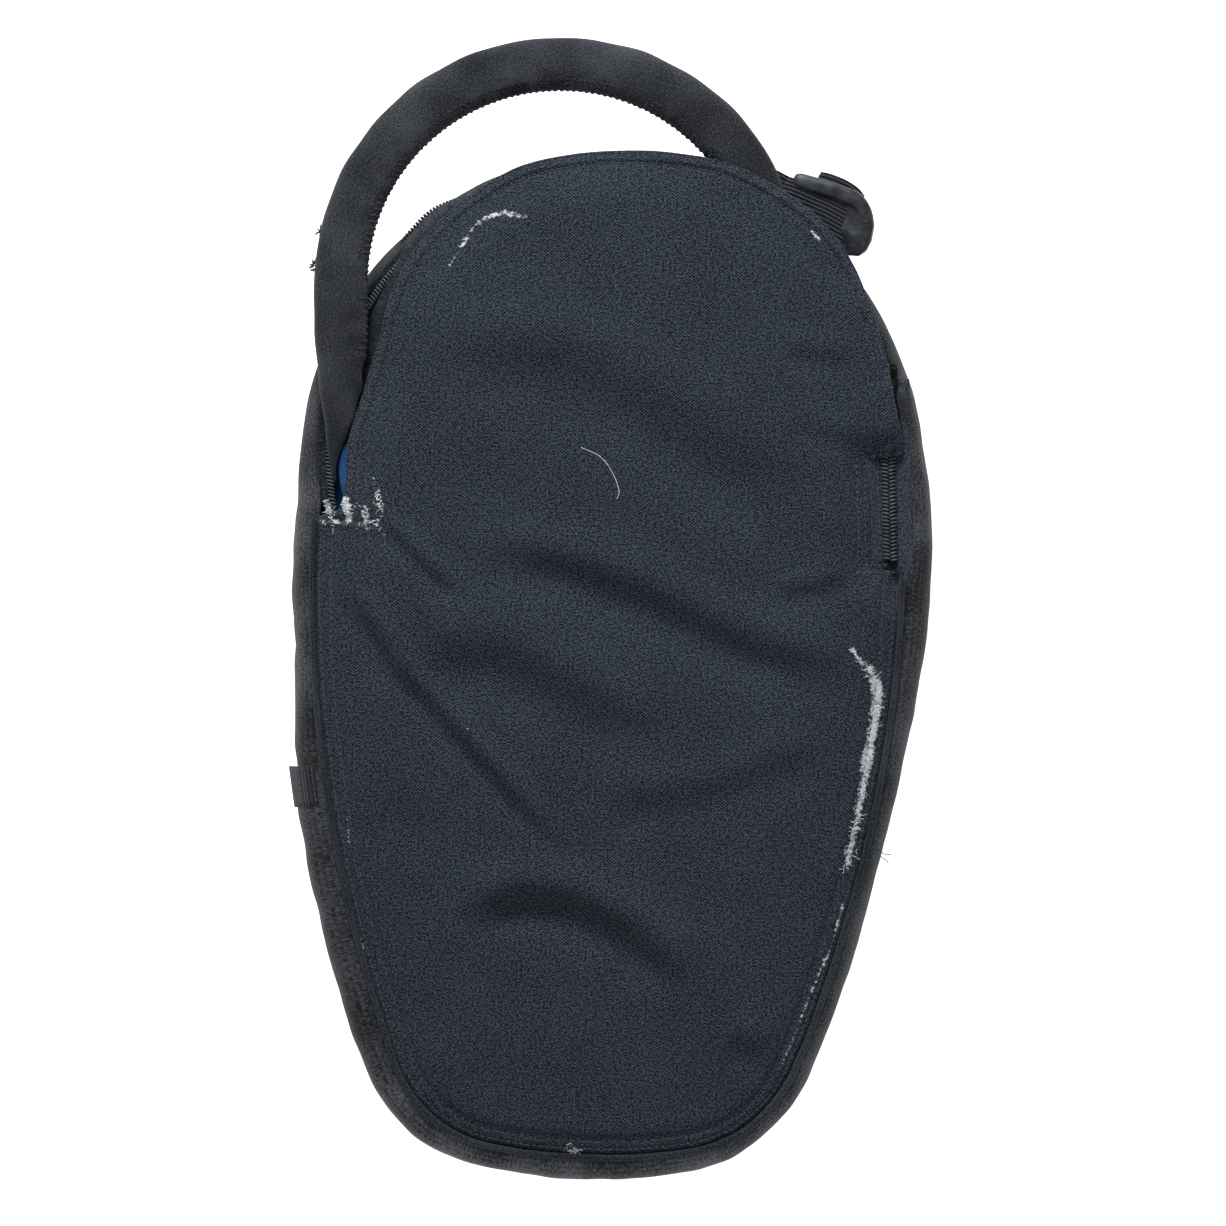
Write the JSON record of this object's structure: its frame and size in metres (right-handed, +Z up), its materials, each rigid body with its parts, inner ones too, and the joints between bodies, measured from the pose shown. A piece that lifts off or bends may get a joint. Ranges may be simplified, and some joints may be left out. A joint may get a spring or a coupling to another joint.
{
  "type": "drum stick bag",
  "caption": "Egg-shaped padded drum stick bag: clamshell stick compartment with sleeves, zipped rear pocket and padded strap loop with a ladder lock.",
  "frame": {"origin": "on the resting surface, under the centre of the bag with its strap loop; the bag lies on its front panel, rear panel up", "axes": "+X across the bag to the side with the closed stretch of pocket zip, +Y from the narrow end to the wide end, +Z up through the thickness to the rear panel"},
  "size_m": [0.2962, 0.5324, 0.0619],
  "materials": {
    "shell_nylon": "coarse plain-weave nylon, matt",
    "gusset_knit": "fine knit face, matt",
    "piping": "matt",
    "fleece_lining": "brushed",
    "blue_lining": "smooth coated nylon",
    "stiffener": "closed-cell foam board",
    "sleeve_nylon": "plain-weave nylon, matt",
    "binding_tape": "grosgrain",
    "zip_tape": "woven tape",
    "zip_coil": "satin",
    "zip_metal": "black enamel",
    "worn_thread": "worn thread",
    "strap_knit": "knit faced foam",
    "webbing": "ribbed webbing",
    "lock_plastic": "satin moulded"
  },
  "bodies": {
    "front_shell": {"front_panel": "shell_nylon", "front_piping": "piping", "front_gusset": "gusset_knit", "front_lining": "fleece_lining", "main_zip_tape_front": "zip_tape", "main_zip_coil_front": "zip_coil", "hinge_strip_front": "gusset_knit", "stick_sleeve_panel": "sleeve_nylon", "sleeve_binding": "binding_tape"},
    "back_shell": {"back_gusset": "gusset_knit", "main_zip_tape_back": "zip_tape", "main_zip_coil_back": "zip_coil", "hinge_strip_back": "gusset_knit", "back_wall_lining": "fleece_lining", "back_wall_board": "stiffener", "pocket_lining": "blue_lining", "rear_panel": "shell_nylon", "rear_panel_lining": "blue_lining", "rear_piping": "piping", "pocket_zip_tape_outer": "zip_tape", "pocket_zip_coil_outer": "zip_coil", "pocket_zip_chain": "zip_coil", "pocket_zip_chain_tape": "zip_tape", "zip_bottom_stop": "zip_metal", "zip_end_bartack": "worn_thread", "side_tab": "webbing", "strap_end_right": "strap_knit", "strap_end_left": "strap_knit", "strap_anchor_webbing": "webbing"},
    "rear_flap": {"flap_panel": "shell_nylon", "flap_lining": "blue_lining", "flap_zip_tape": "zip_tape"},
    "strap": {"strap_sleeve": "strap_knit", "strap_core_webbing": "webbing"},
    "ladder_lock": {"ladder_lock": "lock_plastic", "lock_webbing": "webbing"},
    "pocket_slider": {"pocket_zip_slider": "zip_metal"},
    "pocket_pull": {"pocket_zip_pull": "zip_metal"},
    "main_slider_left": {"main_zip_slider_left": "zip_metal"},
    "main_slider_right": {"main_zip_slider_right": "zip_metal"},
    "main_pull_left": {"main_zip_pull_left": "zip_metal"},
    "main_pull_right": {"main_zip_pull_right": "zip_metal"}
  },
  "joints": [
    {"name": "shell_hinge", "type": "hinge", "parent": "front_shell", "child": "back_shell", "pos_m": [0, -0.2665, 0.0297], "axis": [1, 0, 0], "range_deg": [0, 175]},
    {"name": "flap_fold", "type": "hinge", "parent": "back_shell", "child": "rear_flap", "pos_m": [-0.1175, 0.0438, 0.061], "axis": [0.9703, 0.2421, 0], "range_deg": [0, 120]},
    {"name": "strap_swing", "type": "hinge", "parent": "back_shell", "child": "strap", "pos_m": [-0.123, 0.0438, 0.0552], "axis": [0.8129, 0.5824, 0], "range_deg": [0, 95]},
    {"name": "lock_swivel", "type": "hinge", "parent": "back_shell", "child": "ladder_lock", "pos_m": [0.07859, 0.18718, 0.052], "axis": [0, 0, 1], "range_deg": [-10, 15]},
    {"name": "pocket_zip_run", "type": "slide", "parent": "back_shell", "child": "pocket_slider", "axis": [0.0524, -0.9986, 0], "range_m": [0, 0.066]},
    {"name": "pocket_pull_tilt", "type": "hinge", "parent": "pocket_slider", "child": "pocket_pull", "pos_m": [0.12802, 0.11868, 0.05455], "axis": [0.9986, 0.0524, 0], "range_deg": [-12, 3]},
    {"name": "main_zip_run_left", "type": "hinge", "parent": "front_shell", "child": "main_slider_left", "pos_m": [0, 0.0676, 0.0297], "axis": [0, 0, 1], "range_deg": [0, 75]},
    {"name": "main_zip_run_right", "type": "hinge", "parent": "front_shell", "child": "main_slider_right", "pos_m": [0, 0.0676, 0.0297], "axis": [0, 0, 1], "range_deg": [-75, 0]},
    {"name": "main_pull_left_swing", "type": "hinge", "parent": "main_slider_left", "child": "main_pull_left", "pos_m": [-0.00799, 0.21388, 0.0297], "axis": [0, 0, 1], "range_deg": [-150, 0]},
    {"name": "main_pull_right_swing", "type": "hinge", "parent": "main_slider_right", "child": "main_pull_right", "pos_m": [0.00799, 0.21388, 0.0297], "axis": [0, 0, 1], "range_deg": [0, 150]}
  ]
}
